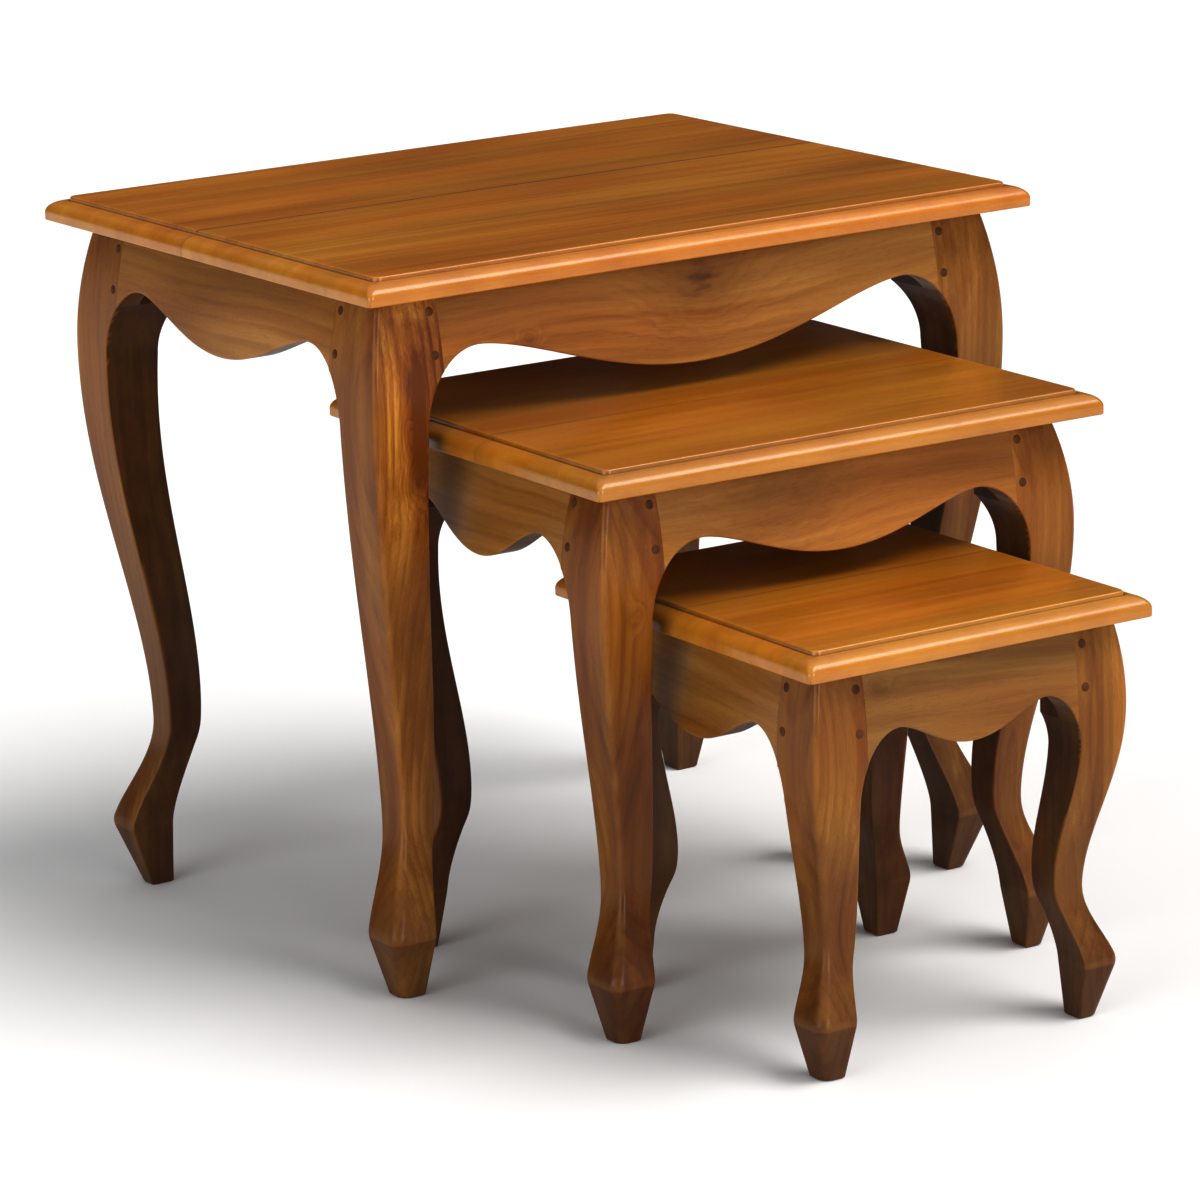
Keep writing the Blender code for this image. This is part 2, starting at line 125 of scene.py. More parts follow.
# ---------------------------------------------------------------- shape of each table
# Tucks are measured back from the knee, the outermost point of a leg.
SHAPES = {
    "large": {
        "side_over": 0.0123, "front_over": 0.0189, "knee_drop": 0.0980, "top_tuck": 0.0140,
        "ankle_z": 0.1330, "ankle_tuck": 0.0333, "toe_z": 0.0490, "toe_tuck": 0.0062,
        "foot_tuck": 0.0226, "seam_run": 0.0155, "knee_w": 0.0465, "ankle_w": 0.0272,
        "toe_w": 0.0370, "foot_w": 0.0195, "arch_run": 0.0480, "arch_rise": 0.0600,
        "peak_drop": 0.0435, "front_dip": 0.0820, "side_dip": 0.0735,
    },
    "mid": {
        "side_over": 0.0130, "front_over": 0.0188, "knee_drop": 0.0824, "top_tuck": 0.0140,
        "ankle_z": 0.1150, "ankle_tuck": 0.0285, "toe_z": 0.0460, "toe_tuck": 0.0055,
        "foot_tuck": 0.0170, "seam_run": 0.0112, "knee_w": 0.0420, "ankle_w": 0.0260,
        "toe_w": 0.0360, "foot_w": 0.0180, "arch_run": 0.0460, "arch_rise": 0.0550,
        "peak_drop": 0.0440, "front_dip": 0.0705, "side_dip": 0.0735,
    },
    "small": {
        "side_over": 0.0126, "front_over": 0.0135, "knee_drop": 0.0635, "top_tuck": 0.0076,
        "ankle_z": 0.0970, "ankle_tuck": 0.0225, "toe_z": 0.0425, "toe_tuck": 0.0036,
        "foot_tuck": 0.0151, "seam_run": 0.0039, "knee_w": 0.0385, "ankle_w": 0.0250,
        "toe_w": 0.0328, "foot_w": 0.0180, "arch_run": 0.0330, "arch_rise": 0.0480,
        "peak_drop": 0.0475, "front_dip": 0.0680, "side_dip": 0.0735,
    },
}

# Corner name, side along X, side along Y, quarter turns of the leg.
CORNERS = (
    ("front_left", -1, -1, 0),
    ("front_right", 1, -1, 1),
    ("rear_right", 1, 1, 2),
    ("rear_left", -1, 1, 3),
)

# ---------------------------------------------------------------- fineness
ARRIS_STEPS = 8
SMALL_ARRIS_STEPS = 3
FACE_STEPS = 6
LEG_STEP = 0.0050
TOE_STEP = 0.0008
ARCH_STEPS = 16
WAVE_STEPS = 40
APRON_RISE_STEPS = 10
APRON_RISE_SKEW = 1.4
APRON_BACK_ROWS = (0.03, 0.5, 1.0)
EDGE_STEPS = 4
OVOLO_STEPS = 12
CREST_STEPS = 4
CORNER_STEPS = 8
PEG_SIDES = 32
PEG_DOME_SHARES = (0.15, 0.35, 0.55, 0.75, 0.90)
SOFTEN_SHARES = (-1.0, -0.6, -0.2, 0.2, 0.6, 1.0)
SMOOTH_BELOW = math.radians(38.0)


# ---------------------------------------------------------------- leg and apron curves
def face_tuck(shape, z):
    """How far the outer face of a leg or apron lies behind the knee at height z."""
    if z >= shape["knee_z"]:
        t = (z - shape["knee_z"]) / shape["knee_drop"]
        return shape["top_tuck"] * t * t
    if z >= shape["ankle_z"]:
        t = (z - shape["ankle_z"]) / (shape["knee_z"] - shape["ankle_z"])
        return shape["ankle_tuck"] * 0.5 * (1.0 + math.cos(math.pi * t ** CALF_SKEW))
    if z >= shape["toe_z"]:
        t = ((z - shape["toe_z"]) / (shape["ankle_z"] - shape["toe_z"])) ** TOE_SKEW
        rise = shape["ankle_tuck"] - shape["toe_tuck"]
        return shape["toe_tuck"] + rise * (1.0 - (1.0 - t) ** 2)
    t = z / shape["toe_z"]
    return shape["foot_tuck"] + (shape["toe_tuck"] - shape["foot_tuck"]) * t


def inner_tuck(shape, z):
    """How far the inner face of a leg lies behind the knee at height z."""
    if z > shape["seam_z"]:
        return shape["block"]
    if z >= shape["spring_z"]:
        t = min((z - shape["spring_z"]) / shape["arch_rise"], 1.0)
        return shape["arch_mid"] - shape["arch_run"] * math.sqrt(1.0 - t * t)
    slim_z = SLIM_SHARE * shape["ankle_z"]
    if z >= slim_z:
        t = (z - slim_z) / (shape["spring_z"] - slim_z)
        width = shape["ankle_w"] + (shape["knee_w"] - shape["ankle_w"]) * t
    elif z >= shape["toe_z"]:
        t = ((z - shape["toe_z"]) / (slim_z - shape["toe_z"])) ** TOE_SKEW
        width = shape["toe_w"] + (shape["ankle_w"] - shape["toe_w"]) * (1.0 - (1.0 - t) ** 2)
    else:
        t = z / shape["toe_z"]
        width = shape["foot_w"] + (shape["toe_w"] - shape["foot_w"]) * t
    return face_tuck(shape, z) + width


def softened(curve, shape, z):
    """The curve's mean over a short stretch, which rounds the ridge of the toe."""
    reach = min(SOFTEN, z, max(shape["spring_z"] - z, 0.0))
    total = sum(curve(shape, z + share * reach) for share in SOFTEN_SHARES)
    return total / len(SOFTEN_SHARES)


def arris_radius(shape, z):
    """The outer arris is crisp down to the ankle and well rounded at the toe."""
    t = max(0.0, min(1.0, (shape["ankle_z"] - z) / (shape["ankle_z"] - shape["toe_z"])))
    return ARRIS_R + (TOE_ARRIS_R - ARRIS_R) * t * t * (3.0 - 2.0 * t)


def finish_shape(shape, leg_top):
    """Work out the heights and places that follow from the driving sizes."""
    shape["leg_top"] = leg_top
    shape["knee_z"] = leg_top - shape["knee_drop"]
    shape["peak_z"] = leg_top - shape["peak_drop"]
    shape["spring_z"] = shape["peak_z"] - shape["arch_rise"]
    spring_in = face_tuck(shape, shape["spring_z"]) + shape["knee_w"]
    shape["block"] = spring_in + shape["seam_run"]
    shape["arch_mid"] = spring_in + shape["arch_run"]
    lean = (shape["arch_mid"] - shape["block"]) / shape["arch_run"]
    shape["seam_angle"] = math.acos(lean)
    shape["seam_z"] = shape["spring_z"] + shape["arch_rise"] * math.sin(shape["seam_angle"])


def spread(low, high, step):
    """Evenly spaced values from low up to, but without, high."""
    count = max(1, math.ceil((high - low) / step))
    return [low + (high - low) * i / count for i in range(count)]


def leg_heights(shape):
    """Heights of a leg's rings, closest round the ridge of the toe."""
    toe = shape["toe_z"]
    near = 2.0 * SOFTEN
    levels = [0.0, INNER_ARRIS]
    levels += spread(2.0 * INNER_ARRIS, toe - near, LEG_STEP)
    levels += spread(toe - near, toe + near, TOE_STEP)
    levels += spread(toe + near, shape["ankle_z"], LEG_STEP)
    levels += spread(shape["ankle_z"], shape["spring_z"], LEG_STEP)
    for i in range(ARCH_STEPS + 1):
        angle = shape["seam_angle"] * i / ARCH_STEPS
        levels.append(shape["spring_z"] + shape["arch_rise"] * math.sin(angle))
    levels[-1] = shape["seam_z"]
    joint = shape["seam_z"] + 0.5 * JOINT_ARRIS
    levels += spread(joint, shape["leg_top"], LEG_STEP)
    return levels + [shape["leg_top"] - JOINT_GAP]


# ---------------------------------------------------------------- mesh helpers
def loft(rings):
    """A closed body over rings that all have the same number of points."""
    bm = bmesh.new()
    rows = [[bm.verts.new(point) for point in ring] for ring in rings]
    count = len(rows[0])
    for low, high in zip(rows, rows[1:]):
        for i in range(count):
            j = (i + 1) % count
            bm.faces.new((low[i], low[j], high[j], high[i]))
    bm.faces.new(list(reversed(rows[0])))
    bm.faces.new(rows[-1])
    return bm


def rounded_square(low, high, radii):
    """Square ring: corners at (low, low), (high, low), (high, high) and (low, high)."""
    ring = []
    corners = ((low, low), (high, low), (high, high), (low, high))
    for index, (cx, cy) in enumerate(corners):
        radius = radii[index]
        steps = ARRIS_STEPS if index == 0 else SMALL_ARRIS_STEPS
        mx = cx + radius if cx == low else cx - radius
        my = cy + radius if cy == low else cy - radius
        for i in range(steps + 1):
            angle = math.pi + 0.5 * math.pi * (index + i / steps)
            ring.append((mx + radius * math.cos(angle), my + radius * math.sin(angle)))
        following = (index + 1) % 4
        nx, ny = corners[following]
        along = Vector((nx - cx, ny - cy))
        length = along.length
        along.normalize()
        start, stop = radius, length - radii[following]
        for i in range(1, FACE_STEPS):
            run = start + (stop - start) * 0.5 * (1.0 - math.cos(math.pi * i / FACE_STEPS))
            ring.append((cx + along.x * run, cy + along.y * run))
    return ring


def store(mesh, name, kind, values):
    """Write one value, or one vector, for every vertex of the mesh."""
    layer = mesh.attributes.new(name, kind, "POINT")
    flat = values if kind == "FLOAT" else [x for value in values for x in value]
    layer.data.foreach_set("value" if kind == "FLOAT" else "vector", flat)


# What each share is where a piece has no rule for it.
PLAIN_SHARES = {"wear": 0.0, "stain_and_shade": 0.0, "contrast": 1.0}


def piece(name, bm, matrix, table, wood, log, shares, knots=(), tone=1.0):
    """Turn a bmesh into a named object that rides on its table.

    log takes a point of the piece into its log, where X runs along the grain and the
    pith is the X axis. shares holds functions of a point, for any of wear (rubbed off
    finish), stain and shade (real stain gathered at glue lines, end grain and peg rims,
    and painted shade in hollows, on hidden faces, under a top and down the lower legs)
    and contrast (how strongly the grain shows). knots holds up to two pairs of a centre
    and the size of the eye along X, Y and Z.
    """
    bmesh.ops.recalc_face_normals(bm, faces=bm.faces)
    mesh = bpy.data.meshes.new(name)
    bm.to_mesh(mesh)
    bm.free()
    points = [vert.co.copy() for vert in mesh.vertices]
    store(mesh, "log", "FLOAT_VECTOR", [log @ point for point in points])
    for share, plain in PLAIN_SHARES.items():
        rule = shares.get(share)
        store(mesh, share, "FLOAT", [rule(point) if rule else plain for point in points])
    for index in range(2):
        centre, size = knots[index] if index < len(knots) else NO_KNOT
        ratios = [[(point[axis] - centre[axis]) / size[axis] for axis in range(3)]
                  for point in points]
        store(mesh, f"knot_{index}", "FLOAT_VECTOR", ratios)
    for face in mesh.polygons:
        face.use_smooth = True
    mesh.set_sharp_from_angle(angle=SMOOTH_BELOW)
    mesh.materials.append(WOODS[wood])
    obj = bpy.data.objects.new(name, mesh)
    obj["tone"] = tone
    bpy.context.scene.collection.objects.link(obj)
    obj.matrix_world = matrix
    weights = obj.modifiers.new("even_normals", "WEIGHTED_NORMAL")
    weights.keep_sharp = True
    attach(obj, table["body"])
    return obj


# ---------------------------------------------------------------- logs
# Axis of the grain, the pith's nearest and farthest distance, greatest tilt in degrees.
LOGS = {
    "top": ("X", (0.06, 0.14), 1.5),
    "leg": ("Z", (0.03, 0.10), 2.5),
    "apron": ("X", (0.02, 0.09), 4.0),
    "peg": ("Y", (0.002, 0.02), 3.0),
}

# Each piece is cut from somewhere along this many metres of its log.
LOG_LENGTH = 40.0

# Darkest and lightest tone of the pieces that TONES doesn't name.
TONE_SPANS = {"leg": (0.92, 1.04), "apron": (0.94, 1.04), "peg": (0.80, 1.30)}


def log_matrix(rng, wood):
    """From a piece into its log: grain along X, the pith at some distance and angle."""
    grain_axis, pith, most_tilt = LOGS[wood]
    tilt = math.radians(most_tilt)
    if grain_axis == "Z":
        turn = Matrix.Rotation(math.radians(90.0), 4, "Y")
    elif grain_axis == "Y":
        turn = Matrix.Rotation(math.radians(-90.0), 4, "Z")
    else:
        turn = Matrix.Identity(4)
    lean = (Matrix.Rotation(rng.uniform(-tilt, tilt), 4, "Y")
            @ Matrix.Rotation(rng.uniform(-tilt, tilt), 4, "Z"))
    away, around = rng.uniform(*pith), rng.uniform(0.0, 2.0 * math.pi)
    shift = Vector((rng.uniform(0.0, LOG_LENGTH), away * math.cos(around), away * math.sin(around)))
    return Matrix.Translation(shift) @ lean @ turn


# ---------------------------------------------------------------- node trees
class Tree:
    """Short calls for one material's nodes."""

    def __init__(self, name):
        self.material = bpy.data.materials.new(name)
        self.material.use_nodes = True
        self.tree = self.material.node_tree
        self.shader = self.tree.nodes["Principled BSDF"]

    def link(self, value, socket):
        if isinstance(value, bpy.types.NodeSocket):
            self.tree.links.new(value, socket)
        elif value is not None:
            socket.default_value = value

    def add(self, kind, *values, **settings):
        node = self.tree.nodes.new(kind)
        for key, value in settings.items():
            setattr(node, key, value)
        for socket, value in zip(node.inputs, values):
            self.link(value, socket)
        return node

    def attribute(self, name, output="Fac", kind="GEOMETRY"):
        node = self.add("ShaderNodeAttribute", attribute_name=name, attribute_type=kind)
        return node.outputs[output]

    def math(self, operation, *values, clamp=False):
        node = self.add("ShaderNodeMath", *values, operation=operation, use_clamp=clamp)
        return node.outputs[0]

    def vector(self, operation, *values):
        node = self.add("ShaderNodeVectorMath", *values, operation=operation)
        return node.outputs["Value" if operation == "LENGTH" else "Vector"]

    def noise(self, vector, stretch, detail=2.0, roughness=0.5, output="Fac"):
        """Noise whose cells are 1 / stretch long along each axis of the log."""
        node = self.add("ShaderNodeTexNoise", noise_dimensions="3D")
        self.link(self.vector("MULTIPLY", vector, stretch), node.inputs["Vector"])
        node.inputs["Scale"].default_value = 1.0
        node.inputs["Detail"].default_value = detail
        node.inputs["Roughness"].default_value = roughness
        return node.outputs[output]

    def span(self, value, low, high, to_low=0.0, to_high=1.0, smooth=False):
        node = self.add("ShaderNodeMapRange", value, low, high, to_low, to_high)
        node.clamp = True
        node.interpolation_type = "SMOOTHSTEP" if smooth else "LINEAR"
        return node.outputs["Result"]

    def ramp(self, value, stops):
        node = self.add("ShaderNodeValToRGB", value)
        line = node.color_ramp.elements
        while len(line) < len(stops):
            line.new(0.5)
        for element, (place, colour) in zip(line, stops):
            element.position = place
            element.color = (*colour, 1.0)
        return node.outputs["Color"]

    def mix(self, factor, low, high, blend="MIX"):
        node = self.add("ShaderNodeMix", data_type="RGBA", blend_type=blend)
        sockets = [s for s in node.inputs if s.type in ("RGBA", "VALUE") and s.enabled]
        for value, socket in zip((factor, low, high), sockets):
            self.link((*value, 1.0) if isinstance(value, tuple) else value, socket)
        return next(s for s in node.outputs if s.type == "RGBA")


COAT_ROUGHNESS = 0.17
STREAK_ROUGHNESS = (-0.04, 0.06)
PORE_ROUGHNESS = 0.12
STAIN_AND_SHADE_ROUGHNESS = 0.25
BUMP_STRENGTH = 0.30
BUMP_DISTANCE = 0.0005
STREAK_RISE = 0.10
PORE_SINK = 0.10
PALETTE_PLACES = (0.0, 0.33, 0.66, 1.0)
REDDER = (1.04, 0.94, 0.80)
LESS_RED = (0.97, 1.04, 1.14)
KNOT_COLOUR = (0.030, 0.010, 0.005)
# Near black mixed in for painted shade in hollows, on hidden faces, under a top and down the lower
# legs, and for real stain at glue lines, end grain and peg rims.
STAIN_AND_SHADE_COLOUR = (0.016, 0.006, 0.003)

# How many cells of each noise lie in a metre, along the grain and across it.
SLOW_WANDER = (3.0, 9.0, 9.0)
QUICK_WANDER = (11.0, 45.0, 45.0)
RIBBONS = (1.6, 48.0, 48.0)
STREAKS = (4.0, 190.0, 190.0)
FIBRES = (20.0, 1200.0, 1200.0)
BLOTCHES = (4.0, 13.0, 13.0)
RING_PATCHES = (2.0, 22.0, 22.0)
RED_BANDS = (2.2, 18.0, 18.0)
PORES = (95.0, 2300.0, 2300.0)
KNOT_RAGS = (45.0, 110.0, 110.0)
RUBBED_PATCHES = (30.0, 45.0, 45.0)
LACQUER_WAVES = (22.0, 30.0, 30.0)
MIDDLE = (0.5, 0.5, 0.5)

# The quick wander as a share of the slow one, how fast the rings' bulge fades away from
# a knot, how many years it moves them and how ragged a knot's outline is.
QUICK_SHARE = 0.12
KNOT_FALL = -0.12
KNOT_BULGE = 3.5
RAGGEDNESS = (2.4, 2.4, 2.4)

# How strongly each dark or light mark covers the wood.
PORE_SHOW = 0.30
EYE_SHOW = 0.80
HALO_SHOW = 0.45
RUBBED_SHOW = 0.38

# How dark a year's growth is, from its start to its end, and about on average.
YEAR_STOPS = ((0.0, 0.10), (0.45, 0.30), (0.85, 1.0), (1.0, 0.10))
YEAR_MEAN = 0.45


def lacquered_wood(name, palette, ring_width, waviness, weights, gloss, specular, coat):
    """Stained and lacquered hardwood, worked out in the space of the log.

    palette runs from the darkest streak to the lightest, ring_width is the growth of a
    year, waviness is how far the grain wanders, and weights say how much ribbons,
    streaks, fibres, blotches and rings show. gloss is the wood's roughness, specular
    its mirror share and coat the weight of the clear lacquer above it.
    """
    t = Tree(name)
    log = t.attribute("log", "Vector")
    ragged = t.vector("SUBTRACT", t.noise(log, KNOT_RAGS, 2.0, output="Color"), MIDDLE)
    ragged = t.vector("MULTIPLY", ragged, RAGGEDNESS)
    knot = t.math("MINIMUM", *(
        t.vector("LENGTH", t.vector("ADD", t.attribute(place, "Vector"), ragged))
        for place in ("knot_0", "knot_1")))
    wear = t.attribute("wear")
    stain_and_shade = t.attribute("stain_and_shade")
    tone = t.attribute("tone", "Fac", "OBJECT")
    contrast = t.attribute("contrast")

    # The grain wanders slowly along the log, and quicker in a small way.
    slow = t.noise(log, SLOW_WANDER, 1.0, output="Color")
    quick = t.noise(log, QUICK_WANDER, 1.0, output="Color")
    slow = t.vector("MULTIPLY", t.vector("SUBTRACT", slow, MIDDLE), (0.0, waviness, waviness))
    quick = t.vector("MULTIPLY", t.vector("SUBTRACT", quick, MIDDLE),
                     (0.0, QUICK_SHARE * waviness, QUICK_SHARE * waviness))
    grain = t.vector("ADD", t.vector("ADD", log, slow), quick)

    # Growth rings lie round the pith, and bulge round a knot.
    from_pith = t.vector("LENGTH", t.vector("MULTIPLY", grain, (0.0, 1.0, 1.0)))
    near_knot = t.math("EXPONENT",
                       t.math("MULTIPLY", t.math("MULTIPLY", knot, knot), KNOT_FALL))
    age = t.math("ADD", t.math("DIVIDE", from_pith, ring_width),
                 t.math("MULTIPLY", near_knot, KNOT_BULGE))
    year = t.math("FRACT", age)
    late = t.ramp(year, [(place, (level,) * 3) for place, level in YEAR_STOPS])
    ring_show = t.span(t.noise(grain, RING_PATCHES), 0.35, 0.65, 0.2, 1.0)
    rings = t.math("MULTIPLY", t.math("SUBTRACT", YEAR_MEAN, late), ring_show)

    figures = (
        t.math("SUBTRACT", t.noise(grain, RIBBONS, 1.0), 0.5),
        t.math("SUBTRACT", t.noise(grain, STREAKS, 2.0), 0.5),
        t.math("SUBTRACT", t.noise(grain, FIBRES, 2.0), 0.5),
        t.math("SUBTRACT", t.noise(log, BLOTCHES, 1.0), 0.5),
        rings,
    )
    light = None
    for figure, weight in zip(figures, weights):
        share = t.math("MULTIPLY", figure, weight)
        light = share if light is None else t.math("ADD", light, share)
    middle = t.span(contrast, 1.0, 2.5, 0.50, 0.67)
    light = t.math("ADD", t.math("MULTIPLY", light, contrast), middle, clamp=True)
    colour = t.ramp(light, tuple(zip(PALETTE_PLACES, palette)))

    # The stain takes redder in some bands of the wood than in others.
    band = t.span(t.noise(grain, RED_BANDS, 1.0), 0.35, 0.65)
    tint = t.mix(band, REDDER, LESS_RED)
    colour = t.mix(1.0, colour, tint, "MULTIPLY")

    # Pores are short dark dashes along the grain.
    pores = t.span(t.noise(grain, PORES, 1.0), 0.60, 0.70)
    colour = t.mix(t.math("MULTIPLY", pores, PORE_SHOW), colour, palette[0])

    # A knot is nearly black at its eye and dark round it.
    eye = t.span(knot, 0.25, 1.15, 1.0, 0.0, smooth=True)
    colour = t.mix(t.math("MULTIPLY", eye, EYE_SHOW), colour, KNOT_COLOUR)
    halo = t.span(knot, 0.6, 4.0, 1.0, 0.0, smooth=True)
    colour = t.mix(t.math("MULTIPLY", halo, HALO_SHOW), colour, palette[0])

    # Handling rubs the stain off the arrises. Near black is mixed in for painted shade in
    # the moulding's hollows, on hidden faces, just under a top and down the lower legs, and
    # for real stain at glue lines, end grain and peg rims.
    patch = t.span(t.noise(log, RUBBED_PATCHES, 3.0), 0.30, 0.70)
    rubbed = t.math("MULTIPLY", t.math("MULTIPLY", wear, patch), RUBBED_SHOW)
    colour = t.mix(rubbed, colour, palette[3])
    stain_and_shade_mix = t.math("MULTIPLY", stain_and_shade, t.span(patch, 0.0, 1.0, 0.95, 0.75))
    colour = t.mix(stain_and_shade_mix, colour, STAIN_AND_SHADE_COLOUR)
    bright = t.add("ShaderNodeCombineXYZ", tone, tone, tone).outputs[0]
    colour = t.mix(1.0, colour, bright, "MULTIPLY")
    t.link(colour, t.shader.inputs["Base Color"])

    low, high = STREAK_ROUGHNESS
    rough = t.span(figures[1], -0.2, 0.2, gloss + low, gloss + high)
    rough = t.math("ADD", rough, t.math("MULTIPLY", pores, PORE_ROUGHNESS))
    rough = t.math("ADD", rough, t.math("MULTIPLY", stain_and_shade_mix, STAIN_AND_SHADE_ROUGHNESS), clamp=True)
    t.link(rough, t.shader.inputs["Roughness"])

    # Lacquer sinks a little over pores and fibres and lies in faint waves.
    waves = t.noise(log, LACQUER_WAVES, 1.0)
    height = t.math("ADD", waves, t.math("MULTIPLY", figures[1], STREAK_RISE))
    height = t.math("SUBTRACT", height, t.math("MULTIPLY", pores, PORE_SINK))
    bump = t.add("ShaderNodeBump")
    bump.inputs["Strength"].default_value = BUMP_STRENGTH
    bump.inputs["Distance"].default_value = BUMP_DISTANCE
    t.link(height, bump.inputs["Height"])
    t.link(bump.outputs["Normal"], t.shader.inputs["Normal"])

    t.shader.inputs["Specular IOR Level"].default_value = specular
    t.shader.inputs["Coat Weight"].default_value = coat
    t.shader.inputs["Coat Roughness"].default_value = COAT_ROUGHNESS
    return t.material


WOODS = {
    "top": lacquered_wood(
        "top_wood",
        palette=((0.215, 0.056, 0.003), (0.360, 0.122, 0.008),
                 (0.470, 0.180, 0.014), (0.610, 0.280, 0.036)),
        ring_width=0.0100, waviness=0.022, weights=(0.50, 0.30, 0.16, 0.85, 0.10),
        gloss=0.33, specular=0.40, coat=0.60),
    "leg": lacquered_wood(
        "leg_wood",
        palette=((0.095, 0.026, 0.003), (0.185, 0.058, 0.006),
                 (0.275, 0.106, 0.014), (0.450, 0.210, 0.040)),
        ring_width=0.0070, waviness=0.026, weights=(0.90, 0.50, 0.24, 0.90, 0.20),
        gloss=0.36, specular=0.22, coat=0.16),
    "apron": lacquered_wood(
        "apron_wood",
        palette=((0.130, 0.043, 0.007), (0.235, 0.092, 0.016),
                 (0.340, 0.150, 0.030), (0.475, 0.238, 0.062)),
        ring_width=0.0120, waviness=0.045, weights=(0.75, 0.42, 0.22, 0.90, 0.16),
        gloss=0.38, specular=0.22, coat=0.16),
    "peg": lacquered_wood(
        "peg_wood",
        palette=((0.034, 0.012, 0.004), (0.070, 0.024, 0.007),
                 (0.110, 0.040, 0.011), (0.170, 0.068, 0.020)),
        ring_width=0.0012, waviness=0.004, weights=(0.50, 0.80, 0.60, 0.30, 0.50),
        gloss=0.45, specular=0.14, coat=0.04),
}


# ---------------------------------------------------------------- pieces
def under_top_shade(shape, point):
    """Painted shade that darkens a leg or an apron just under the top."""
    return UNDER_TOP_SHADE * max(0.0, 1.0 - (shape["leg_top"] - point.z) / UNDER_TOP_REACH)


def leg_piece(table, corner):
    """A cabriole leg: its outer corner lies at low X and low Y in its own space."""
    name, side_x, side_y, quarters = corner
    shape = table["shape"]
    leg_top = shape["leg_top"]
    rings = []
    for z in leg_heights(shape):
        low = softened(face_tuck, shape, z)
        high = softened(inner_tuck, shape, z)
        if z == 0.0:
            low, high = low + INNER_ARRIS, high - INNER_ARRIS
        small = INNER_ARRIS if z <= shape["seam_z"] else JOINT_ARRIS
        if z > shape["seam_z"]:
            high -= JOINT_GAP
        ring = rounded_square(low, high, (arris_radius(shape, z), small, small, small))
        rings.append([(x, y, z) for x, y in ring])

    def wear(point):
        low = face_tuck(shape, min(max(point.z, 0.0), leg_top))
        reach = max(abs(point.x - low), abs(point.y - low))
        arris = max(0.0, 1.0 - reach / ARRIS_RUB_REACH)
        toe = max(0.0, 1.0 - abs(point.z - shape["toe_z"]) / TOE_RUB_REACH)
        lower = max(arris, TOE_RUB * toe)
        return lower if point.z < shape["spring_z"] else UPPER_ARRIS_RUB * arris

    # Painted shade: darker below the ridge of the toe, darker towards the floor, darker on the hidden
    # inner faces and just under the top.
    def stain_and_shade(point):
        z = min(point.z, leg_top)
        foot = FOOT_SHADE if z < shape["toe_z"] - 0.5 * SOFTEN else 0.0
        calf = CALF_SHADE * max(0.0, 1.0 - z / shape["spring_z"]) ** CALF_SHADE_FADE
        behind = min(point.x, point.y) > face_tuck(shape, z) + INNER_ARRIS
        inside = max(point.x, point.y) > inner_tuck(shape, z) - 0.4 * INNER_ARRIS
        inner = HIDDEN_SHADE if behind and inside else 0.0
        return max(foot, calf, inner, under_top_shade(shape, point))

    def contrast(point):
        """Bold grain fades below the knee, and stays off the face along local X = low."""
        bold = BOLD.get((table["name"], "leg", name), 1.0)
        low_down = (shape["knee_z"] - point.z) / shape["knee_drop"]
        side_face = 1.0 - (point.x - face_tuck(shape, min(point.z, leg_top))) / (2.0 * ARRIS_R)
        return bold + (1.0 - bold) * max(0.0, min(1.0, max(low_down, side_face)))

    place = Matrix.Translation((side_x * table["knee_x"], side_y * table["knee_y"], 0.0))
    turn = Matrix.Rotation(quarters * 0.5 * math.pi, 4, "Z")
    rng = random.Random(f"{table['name']} leg {name}")
    log = log_matrix(rng, "leg")
    tone = TONES.get((table["name"], "leg", name), rng.uniform(*TONE_SPANS["leg"]))
    shares = {"wear": wear, "stain_and_shade": stain_and_shade, "contrast": contrast}
    leg = piece(f"{table['name']}_cabriole_leg_{name}", loft(rings),
                table["matrix"] @ place @ turn, table, "leg", log, shares,
                KNOTS.get((table["name"], "leg", name), ()), tone)
    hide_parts(f"{table['name']}_leg_{name}")


def lower_line(shape, half, dip):
    """Points (x, z) along an apron's lower edge, from its left end to its right."""
    mid_x = half + shape["block"] - shape["arch_mid"]
    left = []
    first = 0.5 * math.pi - shape["seam_angle"]
    for i in range(ARCH_STEPS):
        angle = first * (1.0 - i / ARCH_STEPS)
        left.append((-mid_x - shape["arch_run"] * math.sin(angle),
                     shape["spring_z"] + shape["arch_rise"] * math.cos(angle)))
    for i in range(WAVE_STEPS + 1):
        t = i / WAVE_STEPS
        drop = 0.5 * (1.0 - math.cos(math.pi * t ** WAVE_SKEW))
        left.append((-mid_x * (1.0 - t), shape["peak_z"] - (dip - shape["peak_drop"]) * drop))
    return left + [(-x, z) for x, z in reversed(left[:-1])]


def apron_ring(shape, point, normal, end):
    """Section of an apron above one point of its lower edge."""
    px, pz = point
    nx, nz = normal
    top = shape["leg_top"] - JOINT_GAP

    def at(inset, y):
        x = max(-end, min(end, px + nx * inset))
        return x, y, pz + nz * inset

    ring = []
    for i in range(SMALL_ARRIS_STEPS + 2):
        angle = 0.5 * math.pi * i / (SMALL_ARRIS_STEPS + 1)
        inset = INNER_ARRIS * (1.0 - math.cos(angle))
        ring.append(at(inset, APRON_DEPTH - INNER_ARRIS * (1.0 - math.sin(angle))))
    x0, _, z0 = ring[-1]
    for share in APRON_BACK_ROWS:
        ring.append((x0 + (px - x0) * share, APRON_DEPTH, z0 + (top - z0) * share))
    x1, _, z1 = at(APRON_ARRIS, 0.0)
    for i in range(APRON_RISE_STEPS, 0, -1):
        share = (i / APRON_RISE_STEPS) ** APRON_RISE_SKEW
        z = z1 + (top - z1) * share
        ring.append((x1 + (px - x1) * share, face_tuck(shape, z), z))
    face = face_tuck(shape, z1)
    for i in range(SMALL_ARRIS_STEPS + 2):
        angle = 0.5 * math.pi * i / (SMALL_ARRIS_STEPS + 1)
        ring.append(at(APRON_ARRIS * (1.0 - math.sin(angle)),
                       face + APRON_ARRIS * (1.0 - math.cos(angle))))
    return ring


